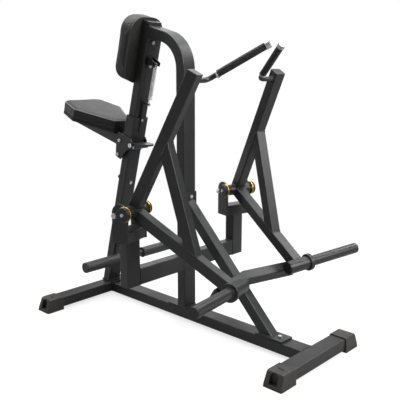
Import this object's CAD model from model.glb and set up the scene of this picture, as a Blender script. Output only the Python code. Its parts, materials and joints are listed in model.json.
"""A chest-supported row machine with two weight-loaded arms, on a pale studio floor.

Row frame: metres, +X forward, +Y left, +Z up. The main post leans forward; the
chest pad and the seat lie behind it, and an arm hinges on each side. Dimensions
are in millimetres where a comment or docstring says so, otherwise in metres.
"""

import json
import math
import random
from types import SimpleNamespace

import bpy
import bmesh
import numpy as np
from mathutils import Matrix, Vector
from mathutils.bvhtree import BVHTree


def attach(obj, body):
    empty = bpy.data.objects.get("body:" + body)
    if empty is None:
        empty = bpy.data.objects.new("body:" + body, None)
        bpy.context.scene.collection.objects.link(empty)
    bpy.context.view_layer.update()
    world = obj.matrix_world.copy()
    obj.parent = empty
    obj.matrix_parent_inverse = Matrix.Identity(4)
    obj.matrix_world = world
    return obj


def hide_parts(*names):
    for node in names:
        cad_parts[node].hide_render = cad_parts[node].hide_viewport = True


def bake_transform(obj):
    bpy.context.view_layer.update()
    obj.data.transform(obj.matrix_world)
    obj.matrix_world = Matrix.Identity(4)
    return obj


SEED = 7

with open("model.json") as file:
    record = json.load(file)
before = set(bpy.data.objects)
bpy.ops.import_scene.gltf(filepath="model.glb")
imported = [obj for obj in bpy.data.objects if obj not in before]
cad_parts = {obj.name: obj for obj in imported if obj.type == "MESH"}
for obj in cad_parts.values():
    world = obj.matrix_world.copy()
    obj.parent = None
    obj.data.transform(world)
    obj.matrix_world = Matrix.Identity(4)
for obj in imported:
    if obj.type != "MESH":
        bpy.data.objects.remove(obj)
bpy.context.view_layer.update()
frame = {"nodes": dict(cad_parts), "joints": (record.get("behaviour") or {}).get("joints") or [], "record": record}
random.seed(SEED)
rng = np.random.default_rng(SEED)
scene = bpy.context.scene

# ---------------------------------------------------------------------------
# Local frames of the CAD, anchored on the left arm's hinge
# ---------------------------------------------------------------------------
X, Y, Z = Vector((1, 0, 0)), Vector((0, 1, 0)), Vector((0, 0, 1))

joints = {joint["name"]: joint for joint in frame["joints"]}
PIVOT = Vector(joints["left_arm_pivot"]["pos_m"])
LAYOUT_PIVOT_X = 0.0028
SHIFT = PIVOT.x - LAYOUT_PIVOT_X          # from layout x to row-frame x

POST_LEAN = math.radians(15.2)
POST_FORWARD = Vector((math.cos(POST_LEAN), 0, -math.sin(POST_LEAN)))
POST_UP = Vector((math.sin(POST_LEAN), 0, math.cos(POST_LEAN)))
POST_ORIGIN = Vector((-0.609 + SHIFT, 0, 0.0618))

ARM_YAW = math.radians(14.4)              # each arm points inwards by this

# Half sizes of the frame's tube, mm: (across the wide way, the narrow way)
HALF_WIDE, HALF_NARROW = 38.1, 25.4
WIDE_TUBE = (HALF_WIDE, HALF_NARROW)
SQUARE_TUBE = (HALF_NARROW, HALF_NARROW)


def post_point(x, y, up):
    """Millimetres along the post's own axes to the row frame."""
    return POST_ORIGIN + POST_FORWARD * (x / 1000) + Y * (y / 1000) + POST_UP * (up / 1000)


def layout_point(x, y, z):
    """Layout millimetres, before the shift of origin, to the row frame."""
    return Vector((x / 1000 + SHIFT, y / 1000, z / 1000))


class Arm:
    """One arm's axes at its hinge: forward, outward and up."""

    def __init__(self, sign):
        self.sign = sign
        self.forward = Vector((math.cos(ARM_YAW), -sign * math.sin(ARM_YAW), 0))
        self.outward = Vector((math.sin(ARM_YAW), sign * math.cos(ARM_YAW), 0))
        self.pivot = Vector((PIVOT.x, sign * PIVOT.y, PIVOT.z))

    def combine(self, forward, outward, up):
        return self.forward * forward + self.outward * outward + Z * up

    def point(self, forward, outward, up):
        """Arm millimetres to the row frame."""
        return self.pivot + self.combine(forward, outward, up) / 1000

    def direction(self, forward, outward, up):
        return self.combine(forward, outward, up).normalized()


ARMS = {"left": Arm(1), "right": Arm(-1)}


# ---------------------------------------------------------------------------
# Shader nodes
# ---------------------------------------------------------------------------
def rgba(value):
    """A grey level or a colour as opaque RGBA."""
    if isinstance(value, (int, float)):
        return (value, value, value, 1)
    return (value[0], value[1], value[2], 1)


def tint(grey, *factors):
    """A colour from a grey level and one factor for each channel."""
    return tuple(grey * factor for factor in factors)


def scaled(colour, factor):
    return tuple(channel * factor for channel in colour)


class Nodes:
    """The emptied node tree of a material or a world."""

    def __init__(self, owner):
        owner.use_nodes = True
        self.tree = owner.node_tree
        self.tree.nodes.clear()

    def add(self, kind, inputs=None, **settings):
        node = self.tree.nodes.new("ShaderNode" + kind)
        for attribute, value in settings.items():
            setattr(node, attribute, value)
        for key, value in (inputs or {}).items():
            self.feed(node.inputs[key], value)
        return node

    def feed(self, socket, value):
        """Link a socket to another, or give it a fixed value."""
        if isinstance(value, bpy.types.NodeSocket):
            self.tree.links.new(value, socket)
        elif socket.type == "RGBA":
            socket.default_value = rgba(value)
        else:
            socket.default_value = value

    def ramp(self, value, *stops, interpolation="LINEAR"):
        """Colour ramp; each stop is (position, grey level or colour)."""
        node = self.add("ValToRGB", {0: value})
        node.color_ramp.interpolation = interpolation
        elements = node.color_ramp.elements
        while len(elements) > 1:
            elements.remove(elements[-1])
        elements[0].position = stops[0][0]
        elements[0].color = rgba(stops[0][1])
        for position, colour in stops[1:]:
            elements.new(position).color = rgba(colour)
        return node.outputs["Color"]

    def remap(self, value, to, source=(0.3, 0.7), interpolation="LINEAR"):
        """Map the source range to another; the default suits a noise."""
        inputs = {0: value, 1: source[0], 2: source[1], 3: to[0], 4: to[1]}
        return self.add("MapRange", inputs, interpolation_type=interpolation).outputs[0]

    def calc(self, operation, *values):
        return self.add("Math", dict(enumerate(values)), operation=operation).outputs[0]

    def times(self, first, second):
        return self.calc("MULTIPLY", first, second)

    def mix(self, factor, first, second):
        return self.add("Mix", {0: factor, 6: first, 7: second}, data_type="RGBA").outputs[2]


class Surface(Nodes):
    """A Principled material textured in object space (metres)."""

    def __init__(self, name):
        self.material = bpy.data.materials.new(name)
        super().__init__(self.material)
        output = self.add("OutputMaterial")
        self.principled = self.add("BsdfPrincipled")
        self.feed(output.inputs[0], self.principled.outputs[0])
        self.coords = self.add("TexCoord").outputs["Object"]

    def noise(self, scale, detail=3.0, rough=0.55, distortion=0.0, coords=None):
        return self.add("TexNoise", {
            "Scale": scale, "Detail": detail, "Roughness": rough,
            "Distortion": distortion, "Vector": coords or self.coords}).outputs["Fac"]

    def voronoi(self, scale, feature="F1", coords=None):
        inputs = {"Scale": scale, "Vector": coords or self.coords}
        return self.add("TexVoronoi", inputs, feature=feature).outputs["Distance"]

    def stretched(self, x, y, z):
        """Object coordinates multiplied axis by axis."""
        return self.add("Mapping", {"Scale": (x, y, z), "Vector": self.coords}).outputs["Vector"]

    def invert(self, value):
        return self.calc("SUBTRACT", 1.0, value)

    def bump(self, height, distance, strength, normal=None):
        inputs = {"Distance": distance, "Strength": strength, "Height": height}
        if normal is not None:
            inputs["Normal"] = normal
        return self.add("Bump", inputs).outputs["Normal"]

    def bevel(self, radius):
        return self.add("Bevel", {"Radius": radius}, samples=4).outputs["Normal"]

    def edge(self, bevel):
        """0 on flat faces, up to 1 along edges, from the bevelled normal."""
        normal = self.add("NewGeometry").outputs["Normal"]
        dot = self.add("VectorMath", {0: bevel, 1: normal}, operation="DOT_PRODUCT")
        return self.remap(dot.outputs["Value"], to=(0.0, 1.0), source=(0.995, 0.85))

    def finish(self, colour, roughness, normal, **others):
        """Feed the Principled inputs; underscores stand for spaces."""
        inputs = dict(Base_Color=colour, Roughness=roughness, Normal=normal, **others)
        for key, value in inputs.items():
            self.feed(self.principled.inputs[key.replace("_", " ")], value)
        return self.material


# ---------------------------------------------------------------------------
# Materials. `base` is the colour or grey level, `rough` the middle roughness.
# ---------------------------------------------------------------------------
def powder(name, base=0.0125, rough=0.40):
    """Satin black powder coat: fine orange peel, faint mottling, rubbed edges."""
    mat = Surface(name)
    bevel = mat.bevel(radius=0.0012)
    edge = mat.edge(bevel)
    mottle = mat.noise(scale=9.0, detail=4.0, rough=0.6)
    fine = mat.noise(scale=1400.0, detail=2.0, rough=0.6)
    colour = mat.ramp(mottle, (0.30, tint(base, 0.86, 0.87, 0.90)),
                      (0.70, tint(base, 1.16, 1.17, 1.20)))
    speck = mat.ramp(fine, (0.62, 0.0), (0.75, 1.0))
    colour = mat.mix(mat.times(speck, 0.35), colour, tint(base, 2.1, 2.1, 2.15))
    patches = mat.ramp(mat.noise(scale=55.0, detail=4.0), (0.40, 0.15), (0.72, 0.8))
    rub = mat.times(edge, patches)
    colour = mat.mix(rub, colour, tint(base, 4.2, 4.2, 4.3))
    roughness = mat.remap(mat.noise(scale=26.0, detail=4.0, rough=0.6),
                          to=(rough - 0.045, rough + 0.05))
    roughness = mat.calc("SUBTRACT", roughness, mat.times(rub, 0.08))
    peel = mat.bump(mat.noise(scale=520.0, detail=2.5, rough=0.5),
                    distance=0.00012, strength=0.55, normal=bevel)
    return mat.finish(colour, roughness,
                      mat.bump(fine, distance=0.00003, strength=0.5, normal=peel))


def plastic(name, base, rough, edge_radius=0.0010):
    """Moulded plastic: spark-eroded grain and soft handling marks."""
    mat = Surface(name)
    bevel = mat.bevel(radius=edge_radius)
    edge = mat.edge(bevel)
    grain = mat.voronoi(scale=1500.0)
    colour = mat.ramp(mat.noise(scale=14.0, detail=5.0, rough=0.65),
                      (0.3, scaled(base, 0.82)), (0.7, scaled(base, 1.22)))
    scuff = mat.ramp(mat.noise(scale=70.0, detail=6.0, rough=0.7,
                               coords=mat.stretched(1, 1, 5)), (0.60, 0.0), (0.78, 1.0))
    colour = mat.mix(mat.times(scuff, 0.25), colour, scaled(base, 2.4))
    colour = mat.mix(mat.times(edge, 0.45), colour, scaled(base, 3.0))
    roughness = mat.remap(mat.noise(scale=40.0, detail=4.0), to=(rough - 0.07, rough + 0.08))
    normal = mat.bump(grain, distance=0.00012, strength=0.5, normal=bevel)
    normal = mat.bump(mat.noise(scale=300.0), distance=0.00008, strength=0.4, normal=normal)
    return mat.finish(colour, roughness, normal)


def vinyl(name, base=0.0085):
    """Upholstery vinyl: pebbled cells, fine creases, dull clear top layer."""
    mat = Surface(name)
    # a small noise offset keeps the cell borders from running straight
    wander = mat.add("TexNoise", {"Scale": 220.0, "Vector": mat.coords}).outputs["Color"]
    warped = mat.add("Mix", {0: 0.0016, 4: mat.coords, 5: wander},
                     data_type="VECTOR").outputs[1]
    cells = mat.voronoi(scale=760.0, feature="DISTANCE_TO_EDGE", coords=warped)
    pebble = mat.ramp(cells, (0.0, 0.0), (0.16, 0.75), (0.45, 1.0), interpolation="EASE")
    crease = mat.ramp(mat.noise(scale=36.0, detail=6.0, rough=0.62, distortion=0.6),
                      (0.44, 1.0), (0.50, 0.62), (0.56, 1.0))
    colour = mat.ramp(mat.noise(scale=7.0, detail=4.0), (0.3, tint(base, 0.88, 0.88, 0.92)),
                      (0.7, tint(base, 1.2, 1.2, 1.24)))
    colour = mat.mix(mat.times(mat.invert(pebble), 0.6), colour, base * 0.45)
    roughness = mat.calc("ADD", mat.remap(mat.noise(scale=18.0, detail=5.0), to=(0.40, 0.50)),
                         mat.times(mat.invert(pebble), 0.18))
    normal = mat.bump(pebble, distance=0.00018, strength=0.6)
    normal = mat.bump(crease, distance=0.00030, strength=0.25, normal=normal)
    return mat.finish(colour, roughness, normal, Coat_Weight=0.12, Coat_Roughness=0.32,
                      Specular_IOR_Level=0.34, Sheen_Weight=0.03, Sheen_Roughness=0.4)


def rubber(name, base=0.0105, rough=0.62, grain=900.0):
    """Matt rubber with pale dust; grain is the scale of its cells."""
    mat = Surface(name)
    colour = mat.ramp(mat.noise(scale=30.0, detail=5.0, rough=0.7),
                      (0.3, base * 0.8), (0.7, base * 1.3))
    dust = mat.ramp(mat.noise(scale=160.0, detail=5.0, rough=0.7), (0.58, 0.0), (0.74, 1.0))
    colour = mat.mix(mat.times(dust, 0.30), colour, tint(base, 2.7, 2.6, 2.45))
    roughness = mat.remap(mat.noise(scale=60.0), to=(rough - 0.06, rough + 0.08))
    normal = mat.bump(mat.voronoi(scale=grain), distance=0.00012, strength=0.55)
    normal = mat.bump(mat.noise(scale=240.0, detail=4.0), distance=0.00010, strength=0.5,
                      normal=normal)
    return mat.finish(colour, roughness, normal, Specular_IOR_Level=0.4)


def metal(name, base, rough, streak=(1, 1, 40), stain=None, metallic=1.0):
    """Plated or turned metal: streaks, pits, a dull bloom and, if given, a stain."""
    mat = Surface(name)
    bevel = mat.bevel(radius=0.0006)
    edge = mat.edge(bevel)
    streaks = mat.noise(scale=60.0, detail=6.0, rough=0.7, coords=mat.stretched(*streak))
    bloom = mat.noise(scale=45.0, detail=5.0, rough=0.65)
    light = tuple(min(1.0, channel * 1.12) for channel in base)
    colour = mat.ramp(bloom, (0.28, scaled(base, 0.62)), (0.60, base), (0.8, light))
    colour = mat.mix(mat.times(edge, 0.55), colour, light)
    if stain:
        patches = mat.ramp(mat.noise(scale=26.0, detail=4.0), (0.45, 0.0), (0.75, 0.35))
        colour = mat.mix(patches, colour, stain)
    roughness = mat.calc(
        "ADD", mat.remap(streaks, to=(rough - 0.08, rough + 0.12), source=(0.25, 0.75)),
        mat.times(mat.ramp(bloom, (0.35, 0.14), (0.6, 0.0)), 1.0))
    normal = mat.bump(streaks, distance=0.00004, strength=0.35, normal=bevel)
    normal = mat.bump(mat.voronoi(scale=900.0), distance=0.00004, strength=0.25, normal=normal)
    return mat.finish(colour, roughness, normal, Metallic=metallic)


def wood(name):
    """Stained plywood edge: plies across the board, grain along it."""
    mat = Surface(name)
    plies = mat.add("TexWave", {
        "Scale": 150.0, "Distortion": 2.2, "Detail": 3.0, "Detail Scale": 8.0,
        "Vector": mat.coords}, wave_type="BANDS", bands_direction="Z").outputs["Fac"]
    grain = mat.noise(scale=35.0, detail=8.0, rough=0.7, coords=mat.stretched(1, 9, 1))
    colour = mat.ramp(grain, (0.3, (0.0045, 0.0042, 0.0040)), (0.7, (0.0095, 0.0088, 0.0080)))
    colour = mat.mix(mat.times(plies, 0.35), colour, (0.014, 0.012, 0.010))
    return mat.finish(colour, mat.remap(grain, to=(0.55, 0.75)),
                      mat.bump(grain, distance=0.00025, strength=0.5))


def grey_lever(name, pin_start=0.0446):
    """Grey moulded lever; past pin_start (m) from the middle it is a zinc pin."""
    mat = Surface(name)
    bevel = mat.bevel(radius=0.0010)
    edge = mat.edge(bevel)
    across = mat.add("SeparateXYZ", {0: mat.coords}).outputs["Y"]
    pin = mat.calc("GREATER_THAN", mat.calc("ABSOLUTE", across, 0.0), pin_start)
    grey = mat.ramp(mat.noise(scale=18.0, detail=5.0, rough=0.6),
                    (0.3, (0.028, 0.028, 0.029)), (0.7, (0.042, 0.042, 0.043)))
    grey = mat.mix(mat.times(edge, 0.5), grey, (0.10, 0.10, 0.10))
    zinc = mat.ramp(mat.noise(scale=60.0, detail=5.0, rough=0.65),
                    (0.3, (0.40, 0.41, 0.43)), (0.7, (0.66, 0.67, 0.69)))
    return mat.finish(mat.mix(pin, grey, zinc),
                      mat.remap(mat.noise(scale=40.0, detail=4.0), to=(0.30, 0.44)),
                      mat.bump(mat.noise(scale=420.0), distance=0.00008, strength=0.4,
                               normal=bevel), Metallic=pin)


SLOT_MATERIALS = {
    "frame_black": powder("powder_coat_black"),
    "plastic_black": plastic("moulded_plastic", base=(0.011, 0.0108, 0.0105), rough=0.36),
    "vinyl_black": vinyl("upholstery_vinyl"),
    "pad_board": wood("stained_ply"),
    "rubber_black": rubber("rubber_black"),
    "gold_ring": metal("gold_ring", base=(0.83, 0.56, 0.13), rough=0.26, streak=(1, 1, 1)),
    "bronze": metal("sintered_bronze", base=(0.52, 0.33, 0.15), rough=0.42, streak=(1, 1, 1),
                    stain=(0.25, 0.14, 0.06)),
    "zinc_steel": metal("zinc_plate", base=(0.78, 0.79, 0.81), rough=0.40,
                        streak=(30, 30, 1), stain=(0.66, 0.64, 0.56)),
    "spring_zinc": metal("spring_wire", base=(0.95, 0.95, 0.96), rough=0.32,
                         streak=(1, 1, 60), metallic=0.1),
    "bright_ring": metal("turned_aluminium", base=(0.58, 0.58, 0.60), rough=0.36,
                         streak=(6, 6, 1)),
}
GRIP_RUBBER = rubber("grip_rubber", base=0.0125, rough=0.55, grain=700.0)
HORN_PAINT = powder("horn_paint", base=0.0135, rough=0.36)
CAP_PLASTIC = plastic("foot_cap_plastic", base=(0.024, 0.022, 0.019), rough=0.50,
                      edge_radius=0.0022)
SLEEVE_RUBBER = plastic("sleeve_rubber", base=(0.020, 0.020, 0.0205), rough=0.42)
LEVER_GREY = grey_lever("lever_grey")
WELD_PAINT = powder("painted_weld", base=0.0120, rough=0.36)
WELT_VINYL = vinyl("welt_vinyl", base=0.15)
THREAD = metal("stitch_thread", base=(0.03, 0.03, 0.032), rough=0.6)

# CAD nodes whose name holds one of these words depart from their slot's material
NODE_MATERIALS = {
    "weight_horn": HORN_PAINT, "horn_sleeve": HORN_PAINT, "pivot_tube": HORN_PAINT,
    "seat_lock_lever": LEVER_GREY, "foot_caps": CAP_PLASTIC,
}


def dress_cad():
    """Give every CAD piece its material."""
    slots = {part["node"]: part["material_slot"] for part in frame["record"]["subparts"]}
    for node, ob in frame["nodes"].items():
        material = SLOT_MATERIALS[slots[node]]
        for word, special in NODE_MATERIALS.items():
            if word in node:
                material = special
        ob.data.materials.clear()
        ob.data.materials.append(material)


dress_cad()


# ---------------------------------------------------------------------------
# Mesh helpers: a geometry is a pair (vertices in metres, faces)
# ---------------------------------------------------------------------------
def add_mesh(name, geometry, material, body=None):
    """A smooth-shaded object, riding on a body and filed in a slot if given."""
    verts, faces = geometry
    mesh = bpy.data.meshes.new(name)
    mesh.from_pydata([tuple(vert) for vert in verts], [], faces)
    mesh.update()
    bm = bmesh.new()
    bm.from_mesh(mesh)
    bmesh.ops.recalc_face_normals(bm, faces=bm.faces)
    bm.to_mesh(mesh)
    bm.free()
    mesh.polygons.foreach_set("use_smooth", [True] * len(mesh.polygons))
    mesh.materials.append(material)
    ob = bpy.data.objects.new(name, mesh)
    scene.collection.objects.link(ob)
    if body:
        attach(ob, body)
    return ob


def ring_faces(rings, sides, closed):
    """Quads between successive rings; closed joins the last ring to the first."""
    faces = []
    for i in range(rings if closed else rings - 1):
        j = (i + 1) % rings
        for k in range(sides):
            following = (k + 1) % sides
            faces.append((i * sides + k, i * sides + following,
                          j * sides + following, j * sides + k))
    return faces


def upright_reference(axis):
    """Z, or X where the axis is nearly vertical."""
    return Z if abs(axis.z) < 0.9 else X


def circle_axes(axis):
    """Two unit vectors square to an axis and to each other."""
    first = axis.cross(upright_reference(axis)).normalized()
    return first, axis.cross(first).normalized()


def on_circle(centre, axes, radius, angle):
    return centre + (axes[0] * math.cos(angle) + axes[1] * math.sin(angle)) * radius


def sweep(path, radii, sides=8, closed=False):
    """A round tube along a path; radii (m) is a number or one per point.
    Open tubes get flat ends."""
    count = len(path)
    if isinstance(radii, (int, float)):
        radii = [radii] * count
    tangents = []
    for i in range(count):
        if closed:
            step = path[(i + 1) % count] - path[i - 1]
        else:
            step = path[min(i + 1, count - 1)] - path[max(i - 1, 0)]
        tangents.append(step.normalized())
    normal = upright_reference(tangents[0])
    axes = []
    for tangent in tangents:
        normal = (normal - tangent * normal.dot(tangent)).normalized()
        axes.append((normal, tangent.cross(normal).normalized()))
    if closed:
        # share the leftover twist over the loop so that the seam closes
        end = axes[-1][0] - tangents[0] * axes[-1][0].dot(tangents[0])
        twist = math.atan2(end.dot(axes[0][1]), end.dot(axes[0][0]))
        for i, tangent in enumerate(tangents):
            turn = Matrix.Rotation(-twist * i / count, 3, tangent)
            axes[i] = (turn @ axes[i][0], turn @ axes[i][1])
    verts = [on_circle(path[i], axes[i], radii[i], 2 * math.pi * k / sides)
             for i in range(count) for k in range(sides)]
    faces = ring_faces(count, sides, closed)
    if not closed:
        faces.append(tuple(range(sides)))
        faces.append(tuple((count - 1) * sides + k for k in reversed(range(sides))))
    return verts, faces


def lathe_ring(origin, axis, profile, segments):
    """Turn a closed section of (along, radius) millimetres into a hollow sleeve."""
    axes = circle_axes(axis)
    verts = [on_circle(origin + axis * (along / 1000), axes, radius / 1000,
                       2 * math.pi * k / segments)
             for along, radius in profile for k in range(segments)]
    return verts, ring_faces(len(profile), segments, closed=True)


def join(parts):
    """Several geometries as one."""
    verts, faces = [], []
    for part_verts, part_faces in parts:
        start = len(verts)
        verts += part_verts
        faces += [tuple(i + start for i in face) for face in part_faces]
    return verts, faces


def loop_length(loop):
    return sum((loop[(i + 1) % len(loop)] - loop[i]).length for i in range(len(loop)))


def resample(loop, step):
    """Points evenly spaced round a closed loop, about a step apart."""
    points = list(loop) + [loop[0]]
    total = loop_length(loop)
    count = max(4, int(round(total / step)))
    step = total / count
    out = [points[0].copy()]
    target, done = step, 0.0
    for start, end in zip(points, points[1:]):
        length = (end - start).length
        while done + length >= target - 1e-12 and len(out) < count:
            out.append(start.lerp(end, (target - done) / length))
            target += step
        done += length
    return out


def rounded(points, radius, steps):
    """A closed 2-D polygon with its corners rounded, steps segments to each."""
    out = []
    for i, point in enumerate(points):
        corner = np.array(point, float)
        back = np.array(points[i - 1], float) - corner
        ahead = np.array(points[(i + 1) % len(points)], float) - corner
        back_length, ahead_length = np.linalg.norm(back), np.linalg.norm(ahead)
        back, ahead = back / back_length, ahead / ahead_length
        angle = math.acos(max(-1, min(1, float(back @ ahead))))
        # the arc starts this far from the corner, within half of either side
        reach = min(radius / math.tan(angle / 2), back_length * 0.49, ahead_length * 0.49)
        fitted = reach * math.tan(angle / 2)
        bisector = (back + ahead) / np.linalg.norm(back + ahead)
        centre = corner + bisector * (fitted / math.sin(angle / 2))
        first, last = corner + back * reach - centre, corner + ahead * reach - centre
        start = math.atan2(first[1], first[0])
        turn = math.atan2(last[1], last[0]) - start
        turn = (turn + math.pi) % (2 * math.pi) - math.pi
        for k in range(steps + 1):
            theta = start + turn * k / steps
            out.append((centre[0] + fitted * math.cos(theta),
                        centre[1] + fitted * math.sin(theta)))
    return out


# ---------------------------------------------------------------------------
# Weld beads: rippled fillets where tubes meet. Sizes in mm.
# ---------------------------------------------------------------------------
BEAD_RADIUS, SMALL_BEAD_RADIUS = 2.1, 1.8
BEAD_STEP, RIPPLE_PITCH = 1.25, 4.2
RIPPLE_HEIGHT, RIPPLE_JITTER = 0.30, 0.12
TUBE_CORNER_RADIUS = 5.0


def bead(path, radius=BEAD_RADIUS):
    """A rippled bead round a closed path."""
    path = resample(path, BEAD_STEP / 1000)
    steps_per_ripple = RIPPLE_PITCH / BEAD_STEP
    phase = rng.uniform(0, 6.28)
    radii = []
    for i in range(len(path)):
        ripple = RIPPLE_HEIGHT * math.sin(2 * math.pi * i / steps_per_ripple + phase)
        jitter = float(rng.uniform(-RIPPLE_JITTER, RIPPLE_JITTER))
        radii.append((radius + ripple + jitter) / 1000)
    return sweep(path, radii, closed=True)


def tube_walls(centre, along, side, half_size, step):
    """Points (m) round a tube's outline; half_size is (along side, square to it)."""
    across = (side - along * side.dot(along)).normalized()
    other = along.cross(across).normalized()
    w, h = half_size
    outline = rounded([(-w, -h), (w, -h), (w, h), (-w, h)], TUBE_CORNER_RADIUS, steps=5)
    return resample([centre + across * (x / 1000) + other * (y / 1000) for x, y in outline],
                    step)


def plane_reach(point, along, plane, normal):
    """How far a point must travel along a direction to meet a plane."""
    return (plane - point).dot(normal) / along.dot(normal)


def cylinder_reach(point, along, centre, axis, radius, exit_side=1):
    """The same to a round tube: its far side, or its near one for exit_side -1."""
    offset = point - centre
    offset = offset - axis * offset.dot(axis)
    travel = along - axis * along.dot(axis)
    a = travel.dot(travel)
    b = 2 * offset.dot(travel)
    c = offset.dot(offset) - (radius / 1000) ** 2
    return (-b + exit_side * math.sqrt(max(0.0, b * b - 4 * a * c))) / (2 * a)


def plane_weld(centre, along, side, half_size, plane, normal, radius=BEAD_RADIUS):
    """Bead where a tube's outer walls meet a plane."""
    walls = tube_walls(centre, along, side, half_size, step=0.004)
    return bead([wall + along * plane_reach(wall, along, plane, normal) for wall in walls],
                radius)


def cylinder_weld(tube_centre, along, side, half_size, *cylinder):
    """Bead where a tube's outer walls meet a round tube."""
    walls = tube_walls(tube_centre, along, side, half_size, step=0.003)
    return bead([wall + along * cylinder_reach(wall, along, *cylinder) for wall in walls])


def ring_weld(centre, axis, ring_radius, radius):
    axes = circle_axes(axis)
    return bead([on_circle(centre, axes, ring_radius / 1000, angle)
                 for angle in np.linspace(0, 2 * math.pi, 96, endpoint=False)], radius)


def frame_welds():
    """Beads of the fixed frame."""
    upright_x = -HALF_NARROW
    beam_z = 294.1                  # middle of the cross beam
    side_post_y = 352.9
    post_front = post_point(HALF_NARROW, 0, 0)
    brace_top, brace_foot = layout_point(121.0, 0, 475.3), layout_point(514.5, 0, 67.6)
    brace_along = (brace_foot - brace_top).normalized()
    brace_normal = Vector((-brace_along.z, 0, brace_along.x))
    brace_centre = brace_top - brace_normal * (HALF_NARROW / 1000)

    # post foot
    welds = [plane_weld(post_point(0, 0, 100), POST_UP, Y, WIDE_TUBE,
                        layout_point(0, 0, 67.8), Z)]
    # upright: its foot, then below and above the cross beam
    for centre_z, plane_z in ((100, 67.8), (200, beam_z - HALF_WIDE), (400, beam_z + HALF_WIDE)):
        welds.append(plane_weld(layout_point(upright_x, 0, centre_z), Z, Y, WIDE_TUBE,
                                layout_point(0, 0, plane_z), Z))
    # arch tail on the post's front face
    welds.append(plane_weld(post_point(60, 0, 1361), POST_FORWARD, Y, WIDE_TUBE,
                            post_front, POST_FORWARD))
    # spine into the rear and the front cross foot
    for centre_x, plane_x in ((-500, -559.9), (600, 671.0)):
        welds.append(plane_weld(layout_point(centre_x, 0, 36.4), X, Y, WIDE_TUBE,
                                layout_point(plane_x, 0, 0), X, SMALL_BEAD_RADIUS))
    # foot rest bracket on the post's front face
    welds.append(plane_weld(post_point(60, 0, 206), POST_FORWARD, Y, (30, 25),
                            post_front, POST_FORWARD, SMALL_BEAD_RADIUS))
    # top and foot of the diagonal brace
    for plane, normal in ((layout_point(6.0, 0, 0), X), (layout_point(0, 0, 69.8), Z)):
        welds.append(plane_weld(brace_centre, brace_along, Y, SQUARE_TUBE, plane, normal))
    for arm in ARMS.values():
        # cross beam into the side post, side post into the pivot head
        welds.append(plane_weld(layout_point(upright_x, arm.sign * 250, beam_z), Y, Z, WIDE_TUBE,
                                layout_point(0, arm.sign * (side_post_y - HALF_WIDE), 0), Y))
        welds.append(plane_weld(layout_point(upright_x, arm.sign * side_post_y, 400), Z, Y,
                                WIDE_TUBE, layout_point(0, 0, 468.0), Z))
        # pivot head into its outer and inner ear
        for ear in (64.8, -64.8):
            welds.append(plane_weld(arm.point(-28, 0, -105.6), arm.outward, arm.forward,
                                    WIDE_TUBE, arm.point(0, ear, 0), arm.outward,
                                    SMALL_BEAD_RADIUS))
    return welds


LOWER_DROP = math.radians(29.8)     # lower tube, below level
UPPER_LEAN = math.radians(27.43)    # upper tube, forward of upright
BRACE_LEAN = math.radians(16.0)     # arm brace, forward of straight down
HORN_TILT = math.radians(4.0)       # weight horn, above level
UPPER_SETBACK, LOWER_SETBACK = 4.0, 1.0     # tube centre lines behind and below the hinge
PIVOT_TUBE_RADIUS, HORN_TUBE_RADIUS = 27.0, 30.0
HORN_ALONG, HORN_RISE, HORN_OUT = 555, 10, 50   # along, above and outward of the lower tube
BRACE_ALONG = 238
HANDLE_BAR_RADIUS = 11.0


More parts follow.
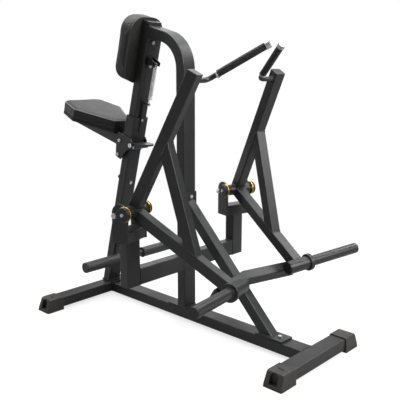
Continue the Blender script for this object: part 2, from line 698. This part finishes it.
def arm_welds(arm):
    """Beads of one swinging arm."""
    outward, pivot = arm.outward, arm.pivot
    upper_along = arm.direction(math.sin(UPPER_LEAN), 0, math.cos(UPPER_LEAN))
    upper_normal = arm.direction(math.cos(UPPER_LEAN), 0, -math.sin(UPPER_LEAN))
    lower_along = arm.direction(math.cos(LOWER_DROP), 0, -math.sin(LOWER_DROP))
    lower_normal = arm.direction(math.sin(LOWER_DROP), 0, math.cos(LOWER_DROP))
    brace_along = arm.direction(math.sin(BRACE_LEAN), 0, -math.cos(BRACE_LEAN))
    brace_normal = arm.direction(math.cos(BRACE_LEAN), 0, math.sin(BRACE_LEAN))
    upper_centre = pivot - upper_normal * (UPPER_SETBACK / 1000)
    lower_centre = pivot - lower_normal * (LOWER_SETBACK / 1000)
    brace_centre = pivot + brace_normal * (BRACE_ALONG / 1000)
    upper_face = pivot + upper_normal * ((HALF_NARROW - UPPER_SETBACK) / 1000)
    lower_face = pivot + lower_normal * ((HALF_NARROW - LOWER_SETBACK) / 1000)
    horn_axis = (outward * math.cos(HORN_TILT) + Z * math.sin(HORN_TILT)).normalized()
    horn = (pivot + lower_along * (HORN_ALONG / 1000) + lower_normal * (HORN_RISE / 1000)
            + outward * (HORN_OUT / 1000))

    welds = [cylinder_weld(upper_centre, upper_along, outward, SQUARE_TUBE,
                           pivot, outward, PIVOT_TUBE_RADIUS)]
    # lower tube: against the upper tube's front face where that is further out
    path = []
    for wall in tube_walls(lower_centre, lower_along, outward, SQUARE_TUBE, step=0.003):
        reach = cylinder_reach(wall, lower_along, pivot, outward, PIVOT_TUBE_RADIUS)
        face_reach = plane_reach(wall, lower_along, upper_face, upper_normal)
        if (wall + lower_along * face_reach - pivot).dot(upper_along) > 0:
            reach = max(reach, face_reach)
        path.append(wall + lower_along * reach)
    welds.append(bead(path))
    # lower tube into the near side of the horn tube
    near_horn = lower_centre + lower_along * ((HORN_ALONG - 200) / 1000)
    welds.append(cylinder_weld(near_horn, lower_along, outward, SQUARE_TUBE,
                               horn, horn_axis, HORN_TUBE_RADIUS, -1))
    # brace into the upper and the lower tube
    for face, normal in ((upper_face, upper_normal), (lower_face, lower_normal)):
        welds.append(plane_weld(brace_centre, brace_along, outward, SQUARE_TUBE, face, normal))
    # handle bar, then two rings about the horn's axis
    welds.append(ring_weld(arm.point(292.3, -HALF_NARROW, 556), outward,
                           HANDLE_BAR_RADIUS, radius=1.7))
    welds.append(ring_weld(horn + horn_axis * 0.013, horn_axis, 24.3, radius=1.6))
    welds.append(ring_weld(horn - horn_axis * 0.006, horn_axis, HORN_TUBE_RADIUS, radius=1.8))
    return welds


add_mesh("weld_beads_frame", join(frame_welds()), WELD_PAINT, "frame")
for side_name, side_arm in ARMS.items():
    add_mesh(side_name + "_arm_weld_beads", join(arm_welds(side_arm)), WELD_PAINT,
             side_name + "_arm")

# ---------------------------------------------------------------------------
# Upholstery. A pad's outline is anticlockwise (a, b) in mm, and place(a, b, h)
# gives the row-frame point, h mm out from the board.
# ---------------------------------------------------------------------------
CHEST_BOARD_X = -37.4
CHEST_THICKNESS = 72.6
SEAT_BOARD_UP = 831.0
SEAT_THICKNESS = 55.0
# (x, y) of the seat's left half in post millimetres, from rear to front
SEAT_HALF = [(-461, 88), (-444, 122), (-313, 155), (-99, 52)]

# face_height: where the flat face starts out; the crown then rises from there
# crown_*: middle and reach over (a, b), and height
PADS = [
    SimpleNamespace(
        name="chest_pad", body="frame",
        place=lambda a, b, h: post_point(CHEST_BOARD_X - h, a, b),
        outline=[(-103, 1099), (103, 1099), (103, 1418), (-103, 1418)],
        corner_radius=76, thickness=CHEST_THICKNESS, face_height=CHEST_THICKNESS - 3.5,
        inset=2.5, bottom_radius=4.0, top_radius=9.0, swell_limit=0.0030,
        crown_centre=(0, 1258), crown_reach=(100, 155), crown_height=2.0, welt_radius=0.0018),
    SimpleNamespace(
        name="seat_pad", body="seat",
        place=lambda a, b, h: post_point(a, b, SEAT_BOARD_UP + h),
        outline=[(x, -y) for x, y in SEAT_HALF] + SEAT_HALF[::-1],
        corner_radius=16, thickness=SEAT_THICKNESS, face_height=SEAT_THICKNESS - 2.2,
        inset=1.5, bottom_radius=2.5, top_radius=5.5, swell_limit=0.0028,
        crown_centre=(-290, 0), crown_reach=(170, 150), crown_height=1.5, welt_radius=0.0026),
]
PRESSURE = 2.0
CLOTH_FRAMES = 20
CLOTH = dict(
    quality=6, mass=0.25, tension_stiffness=18, compression_stiffness=18, shear_stiffness=8,
    bending_stiffness=1.2, use_pressure=True, uniform_pressure_force=PRESSURE,
    vertex_group_mass="pin")
# One stitch: (place along it, lift in thread radii, width in thread radii)
STITCH = [(-0.5, -0.9, 0.5), (-0.34, 0.35, 1), (0, 0.7, 1.05), (0.34, 0.35, 1), (0.5, -0.9, 0.5)]


def inset_polygon(points, distance):
    """Offset an anticlockwise convex polygon inwards."""
    lines = []
    for i, point in enumerate(points):
        start, end = np.array(point, float), np.array(points[(i + 1) % len(points)], float)
        edge = (end - start) / np.linalg.norm(end - start)
        inward = np.array([-edge[1], edge[0]])
        lines.append((start + inward * distance, edge))
    out = []
    for i, (start, edge) in enumerate(lines):
        last_start, last_edge = lines[i - 1]
        along = np.linalg.solve(np.array([last_edge, -edge]).T, start - last_start)
        out.append(tuple(last_start + last_edge * along[0]))
    return out


def pad_outline(pad, inset):
    return rounded(inset_polygon(pad.outline, inset), max(pad.corner_radius - inset, 3.0),
                   steps=8)


def side_profile(pad, steps=5):
    """(h, inset) pairs: rounded bottom edge, straight side, rounded top edge."""
    angles = [math.pi / 2 * i / steps for i in range(steps + 1)]
    bottom = [(pad.bottom_radius * (1 - math.cos(angle)),
               pad.inset + pad.bottom_radius * (1 - math.sin(angle))) for angle in angles]
    top = [(pad.face_height - pad.top_radius * (1 - math.sin(angle)),
            pad.inset + pad.top_radius * (1 - math.cos(angle))) for angle in angles]
    return bottom + top


def apply_modifier(ob, kind, **settings):
    modifier = ob.modifiers.new(kind.lower(), kind)
    for attribute, value in settings.items():
        setattr(modifier, attribute, value)
    depsgraph = bpy.context.evaluated_depsgraph_get()
    mesh = bpy.data.meshes.new_from_object(ob.evaluated_get(depsgraph))
    ob.modifiers.clear()
    old = ob.data
    ob.data = mesh
    bpy.data.meshes.remove(old)


def get_coords(ob):
    flat = np.empty(len(ob.data.vertices) * 3, np.float64)
    ob.data.vertices.foreach_get("co", flat)
    return flat.reshape(-1, 3)


def relax(coords, edges, rounds, strength, free):
    """Draw the free points towards the mean of their neighbours."""
    degree = np.bincount(edges.ravel(), minlength=len(coords)).astype(float)[:, None]
    for _ in range(rounds):
        total = np.zeros_like(coords)
        np.add.at(total, edges[:, 0], coords[edges[:, 1]])
        np.add.at(total, edges[:, 1], coords[edges[:, 0]])
        moved = coords + strength * (total / np.maximum(degree, 1) - coords)
        coords = np.where(free[:, None], moved, coords)
    return coords


def inflate(ob, pinned, limit):
    """Blow the cover up as pressurised cloth, pinned at the board; no point
    moves further than the limit."""
    rest = get_coords(ob)
    group = ob.vertex_groups.new(name="pin")
    group.add([int(i) for i in np.nonzero(pinned)[0]], 1.0, "REPLACE")
    modifier = ob.modifiers.new("cloth", "CLOTH")
    for attribute, value in CLOTH.items():
        setattr(modifier.settings, attribute, value)
    modifier.settings.effector_weights.gravity = 0
    modifier.collision_settings.use_collision = False
    modifier.point_cache.frame_start = 1
    modifier.point_cache.frame_end = CLOTH_FRAMES
    for number in range(1, CLOTH_FRAMES + 1):
        scene.frame_set(number)
    swollen = get_coords(ob.evaluated_get(bpy.context.evaluated_depsgraph_get()))
    ob.modifiers.clear()
    scene.frame_set(1)
    move = swollen - rest
    length = np.linalg.norm(move, axis=1)
    # nearly linear for small moves, levelling off at the limit
    move *= (limit * np.tanh(length / limit) / np.maximum(length, 1e-9))[:, None]
    return rest + move


def build_cover(pad):
    """The stuffed cover: a remeshed block, swollen, crowned and subdivided."""
    profile = side_profile(pad)
    verts = [pad.place(a, b, h) for h, inset in profile for a, b in pad_outline(pad, inset)]
    sides = len(verts) // len(profile)
    faces = ring_faces(len(profile), sides, closed=False)
    faces.append(tuple(reversed(range(sides))))
    faces.append(tuple((len(profile) - 1) * sides + k for k in range(sides)))
    ob = add_mesh(pad.name + "_cover", (verts, faces), SLOT_MATERIALS["vinyl_black"])
    apply_modifier(ob, "REMESH", mode="VOXEL", voxel_size=0.0038, use_smooth_shade=True)

    mesh = ob.data
    edges = np.empty(len(mesh.edges) * 2, np.int64)
    mesh.edges.foreach_get("vertices", edges)
    edges = edges.reshape(-1, 2)
    origin = pad.place(0, 0, 0)
    a_axis, b_axis, outward = (np.array((pad.place(*unit) - origin).normalized())
                               for unit in ((1, 0, 0), (0, 1, 0), (0, 0, 1)))
    origin = np.array(origin)
    coords = get_coords(ob)
    on_board = (coords - origin) @ outward * 1000 < 1.5
    coords = relax(coords, edges, rounds=3, strength=0.4, free=~on_board)
    mesh.vertices.foreach_set("co", coords.ravel())
    coords = inflate(ob, on_board, pad.swell_limit)
    coords = relax(coords, edges, rounds=2, strength=0.35, free=~on_board)

    # a firm crown over the whole face, on top of the simulated swelling
    local = coords - origin
    dome = 1
    for axis, centre, reach in zip((a_axis, b_axis), pad.crown_centre, pad.crown_reach):
        dome = dome * np.clip(1 - ((local @ axis * 1000 - centre) / reach) ** 2, 0, 1)
    rise = np.clip(local @ outward * 1000 / pad.thickness, 0, 1) ** 3
    lift = pad.crown_height * np.sqrt(dome) * rise
    coords = coords + np.outer(lift / 1000, outward)
    mesh.vertices.foreach_set("co", coords.ravel())
    mesh.update()
    apply_modifier(ob, "SUBSURF", levels=1, render_levels=1)
    ob.data.polygons.foreach_set("use_smooth", [True] * len(ob.data.polygons))
    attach(ob, pad.body)
    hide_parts(pad.name)
    return ob


def surface_line(ob, points):
    """The nearest surface point and normal to each point."""
    bm = bmesh.new()
    bm.from_mesh(ob.data)
    tree = BVHTree.FromBMesh(bm)
    line = [tree.find_nearest(point)[:2] for point in points]
    bm.free()
    return line


def smooth_loop(points, rounds):
    array = np.array([tuple(point) for point in points])
    for _ in range(rounds):
        array = (np.roll(array, 1, 0) + 2 * array + np.roll(array, -1, 0)) / 4
    return [Vector(point) for point in array]


def press_line(ob, line, width, depth):
    """Sink a channel into the pad along a closed line."""
    coords = get_coords(ob)
    points = np.array([tuple(point) for point, _ in line])
    normals = np.array([tuple(normal) for _, normal in line])
    block = 4000                    # vertices at a time, to bound the memory
    for start in range(0, len(coords), block):
        part = coords[start:start + block]
        distances = np.linalg.norm(part[:, None, :] - points[None], axis=2)
        nearest = distances.argmin(1)
        distance = distances[np.arange(len(part)), nearest]
        sink = depth * np.exp(-(distance / width) ** 2)
        coords[start:start + block] = part - normals[nearest] * sink[:, None]
    ob.data.vertices.foreach_set("co", coords.ravel())
    ob.data.update()


def add_piping(pad, line):
    """Piping along the line, part sunk into the cover."""
    raised = [point + normal * (pad.welt_radius * 0.35) for point, normal in line]
    path = smooth_loop(resample(smooth_loop(raised, 4), 0.0022), 3)
    add_mesh(pad.name + "_piping", sweep(path, pad.welt_radius, closed=True), WELT_VINYL,
             pad.body)


def add_stitching(pad, line, pitch=0.0058, length=0.0038, radius=0.00055):
    """A row of lock stitches: short threads that dive at both ends."""
    points = [point for point, _ in line]
    total = loop_length(points)
    count = int(total / pitch)
    fine = resample(points, total / count / 4)
    array = np.array([tuple(point) for point in points])
    parts = []
    for i in range(count):
        first = int(i * len(fine) / count)
        start, end = fine[first], fine[(first + 3) % len(fine)]
        nearest = int(np.argmin(np.linalg.norm(array - np.array(start), axis=1)))
        normal = line[nearest][1]
        along = (end - start).normalized() * length
        middle = (start + end) / 2
        path = [middle + along * place + normal * (radius * lift) for place, lift, _ in STITCH]
        parts.append(sweep(path, [radius * width for _, _, width in STITCH], sides=6))
    add_mesh(pad.name + "_stitching", join(parts), THREAD, pad.body)


def sew(pad, cover):
    """Piping round the top edge in a pressed channel, and a seam 8 mm below it."""
    def loop(inset, h):
        return resample([pad.place(a, b, h) for a, b in pad_outline(pad, inset)], 0.004)

    rim_drop = pad.top_radius * 0.25
    rim_height = pad.face_height - rim_drop
    rim = loop(2.0 + rim_drop, rim_height)
    press_line(cover, surface_line(cover, rim), width=0.0030, depth=0.0008)
    add_piping(pad, surface_line(cover, rim))
    add_stitching(pad, surface_line(cover, loop(0.0, rim_height - 8.0)))


covers = [build_cover(pad) for pad in PADS]
for sewn_pad, pad_cover in zip(PADS, covers):
    sew(sewn_pad, pad_cover)

# ---------------------------------------------------------------------------
# Seat spring: a wound coil with a hooked eye at each end, in post millimetres
# ---------------------------------------------------------------------------
SPRING_X = 70.0
COIL_BOTTOM, COIL_TOP = 1045.0, 1196.0
COIL_RADIUS, WIRE_RADIUS = 8.4, 1.4
COIL_TURNS, STEPS_PER_TURN = 51, 16
COIL_OVERRUN = 1            # beyond the bottom and the top
TAPER_STEPS = 5             # over which the coil opens from its axis
EYE_SWEEP = 325             # degrees


def spring_eye(centre_up, radius, start, count):
    """An eye in the post's XZ plane, starting at an angle in degrees."""
    angles = np.linspace(math.radians(start), math.radians(start + EYE_SWEEP), count)
    return [post_point(SPRING_X + radius * math.cos(angle), 0,
                       centre_up + radius * math.sin(angle)) for angle in angles]


def spring_leg(low, high, count):
    return [post_point(SPRING_X, 0, up) for up in np.linspace(low, high, count)]


def spring_coil():
    steps = COIL_TURNS * STEPS_PER_TURN
    height = COIL_TOP - COIL_BOTTOM + 2 * COIL_OVERRUN
    path = []
    for i in range(steps + 1):
        angle = 2 * math.pi * i / STEPS_PER_TURN
        radius = COIL_RADIUS * min(1.0, i / TAPER_STEPS, (steps - i) / TAPER_STEPS)
        path.append(post_point(SPRING_X + radius * math.cos(angle), radius * math.sin(angle),
                               COIL_BOTTOM - COIL_OVERRUN + height * i / steps))
    return path


wire = (spring_eye(1020.0, radius=7.0, start=90 - EYE_SWEEP, count=36)
        + spring_leg(1029.5, 1041.0, 5) + spring_coil() + spring_leg(1200.0, 1210.0, 4)
        + spring_eye(1218.5, radius=6.0, start=-90, count=32))
spring = add_mesh("seat_spring_coil", sweep(wire, WIRE_RADIUS / 1000),
                  SLOT_MATERIALS["spring_zinc"])
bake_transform(spring)
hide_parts("seat_spring")

# ---------------------------------------------------------------------------
# Hand grips: ribbed rubber over the bar. Sizes in mm.
# ---------------------------------------------------------------------------
GRIP_LENGTH = 218.0
GRIP_START = 52                 # along the bar
RIB_PITCH = 4.2
GRIP_BORE, GROOVE_RADIUS, RIB_RADIUS = 11.4, 14.35, 14.95
GRIP_SWELL = 0.35               # extra radius at mid-length
# (distance from the grip's end, radius) of the collar at each end
COLLAR = [(0.0, GRIP_BORE), (0.0, 14.9), (0.7, 15.6), (3.6, 15.6), (4.4, 14.7)]


def grip_profile():
    profile = list(COLLAR)
    for x in np.arange(6.0, GRIP_LENGTH - 9.5, RIB_PITCH):
        swell = GRIP_SWELL * math.sin(math.pi * x / GRIP_LENGTH)
        groove, rib = GROOVE_RADIUS + swell, RIB_RADIUS + swell
        profile += [(x, groove), (x + 0.45, rib), (x + 3.0, rib), (x + 3.45, groove)]
    return profile + [(GRIP_LENGTH - x, radius) for x, radius in reversed(COLLAR)]


for side_name, side_arm in ARMS.items():
    bar_start = side_arm.point(297.0, -101.0, 555.2)
    bar_axis = side_arm.direction(0.8308, -0.2559, 0.4941)
    grip = add_mesh(side_name + "_grip_ribbed",
                    lathe_ring(bar_start + bar_axis * (GRIP_START / 1000), bar_axis,
                               grip_profile(), segments=40),
                    GRIP_RUBBER, side_name + "_arm")
    grip.data.set_sharp_from_angle(angle=math.radians(50))
    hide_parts(side_name + "_hand_grip")

# ---------------------------------------------------------------------------
# Foot rest sleeves: a rim at each end and a slight belly between. Sizes in mm.
# ---------------------------------------------------------------------------
SLEEVE_LENGTH = 212.0
SLEEVE_BORE, SLEEVE_RADIUS = 16.1, 26.0
BELLY_START, BELLY_HEIGHT, BELLY_STEPS = 7.6, 0.7, 24
# (distance from that end, radius), each from the end inwards
INNER_RIM = [(0.2, SLEEVE_BORE), (0.2, 24.2), (1.2, 27.0), (2.6, 27.8), (5.2, 27.8), (6.6, 27.0),
             (BELLY_START, SLEEVE_RADIUS)]
OUTER_RIM = [(0, SLEEVE_BORE), (0, 24.4), (1.4, 26.4), (4.0, 26.9), (6.6, 26.7),
             (BELLY_START, SLEEVE_RADIUS)]


def sleeve_profile():
    belly = [(BELLY_START + (SLEEVE_LENGTH - 2 * BELLY_START) * i / BELLY_STEPS,
              SLEEVE_RADIUS + BELLY_HEIGHT * math.sin(math.pi * i / BELLY_STEPS) ** 0.7)
             for i in range(1, BELLY_STEPS)]
    return INNER_RIM + belly + [(SLEEVE_LENGTH - x, radius) for x, radius in reversed(OUTER_RIM)]


sleeves = add_mesh("foot_rest_rubber",
                   join([lathe_ring(post_point(117.0, sign * 78.0, 206.0), Y * sign,
                                    sleeve_profile(), segments=64) for sign in (1, -1)]),
                   SLEEVE_RUBBER, "frame")
sleeves.data.set_sharp_from_angle(angle=math.radians(60))
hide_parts("foot_rest_sleeves")

# ---------------------------------------------------------------------------
# Stage: floor, world, lights, camera
# ---------------------------------------------------------------------------
FLOOR_HALF, FLOOR_Z = 30.0, -0.0005


def floor_material():
    """Pale to the camera and melting into white with distance; a darker bounce."""
    material = bpy.data.materials.new("floor")
    nodes = Nodes(material)
    seen = nodes.add("LightPath").outputs["Is Camera Ray"]
    diffuse = nodes.add("BsdfDiffuse", {"Color": nodes.mix(seen, 0.30, 0.92)})
    white = nodes.add("Emission", {"Color": 1.0, "Strength": 1.0})
    position = nodes.add("NewGeometry").outputs["Position"]
    distance = nodes.add("VectorMath", {0: position}, operation="LENGTH").outputs["Value"]
    fade = nodes.remap(distance, to=(0.70, 1.0), source=(0.5, 1.7), interpolation="SMOOTHSTEP")
    blend = nodes.add("MixShader", {0: nodes.times(seen, fade), 1: diffuse.outputs[0],
                                    2: white.outputs[0]})
    nodes.add("OutputMaterial", {0: blend.outputs[0]})
    return material


def add_floor():
    corners = [(x * FLOOR_HALF, y * FLOOR_HALF, FLOOR_Z)
               for x, y in ((-1, -1), (1, -1), (1, 1), (-1, 1))]
    mesh = bpy.data.meshes.new("floor")
    mesh.from_pydata(corners, [], [(0, 1, 2, 3)])
    mesh.materials.append(floor_material())
    ob = bpy.data.objects.new("floor", mesh)
    scene.collection.objects.link(ob)


def add_world():
    """White to the camera; a dim sky, brighter overhead, as light."""
    scene.world = bpy.data.worlds.new("studio")
    nodes = Nodes(scene.world)
    seen = nodes.add("LightPath").outputs["Is Camera Ray"]
    direction = nodes.add("TexCoord").outputs["Generated"]
    height = nodes.add("SeparateXYZ", {0: direction}).outputs["Z"]
    sky = nodes.ramp(height, (0.0, 0.30), (0.55, (0.75, 0.75, 0.77)))
    light = nodes.add("Background", {"Color": sky, "Strength": 0.50})
    white = nodes.add("Background", {"Color": 1.0, "Strength": 1.0})
    blend = nodes.add("MixShader", {0: seen, 1: light.outputs[0], 2: white.outputs[0]})
    nodes.add("OutputWorld", {0: blend.outputs[0]})


def add_aimed(name, data, location, direction):
    """A light or camera that looks along a direction."""
    ob = bpy.data.objects.new(name, data)
    scene.collection.objects.link(ob)
    ob.location = location
    ob.rotation_mode = "QUATERNION"
    ob.rotation_quaternion = direction.to_track_quat("-Z", "Y")
    return ob


# name, location, target, (width, height), watts
LIGHTS = [
    ("key", (3.6, 0.6, 2.7), (0, 0, 0.6), (2.2, 2.2), 190),
    ("top", (-0.3, 0.3, 4.0), (0, 0, 0.5), (3.2, 3.2), 165),
    ("rim", (-2.6, 3.0, 2.6), (0, 0, 0.8), (2.6, 2.6), 34),
    ("edge_left", (-2.9, -0.8, 3.6), (0, 0, 0.6), (1.3, 1.3), 55),
    ("edge_back", (0.8, 3.2, 3.3), (0, 0, 0.6), (1.3, 1.3), 48),
    ("side", (-4.0, -1.4, 1.3), (-0.3, 0, 0.9), (0.8, 2.6), 18),
    ("fill", (-1.0, -4.0, 1.6), (0, 0, 0.6), (3.0, 3.0), 8),
]


def add_lights():
    for name, location, target, size, watts in LIGHTS:
        light = bpy.data.lights.new(name, "AREA")
        light.energy = watts
        light.shape = "RECTANGLE"
        light.size, light.size_y = size
        add_aimed(name, light, location, Vector(target) - Vector(location))


def add_camera():
    data = bpy.data.cameras.new("camera")
    data.lens = 56.06
    data.sensor_width = 36.0
    data.clip_start, data.clip_end = 0.05, 100.0
    scene.camera = add_aimed("camera", data, Vector((2.0009 + SHIFT, -2.0564, 1.2036)),
                             Vector((-0.6705, 0.7122, -0.2077)).normalized())


add_floor()
add_world()
add_lights()
add_camera()
scene.view_settings.view_transform = "Standard"
scene.view_settings.look = "None"
scene.view_settings.exposure = 0.0
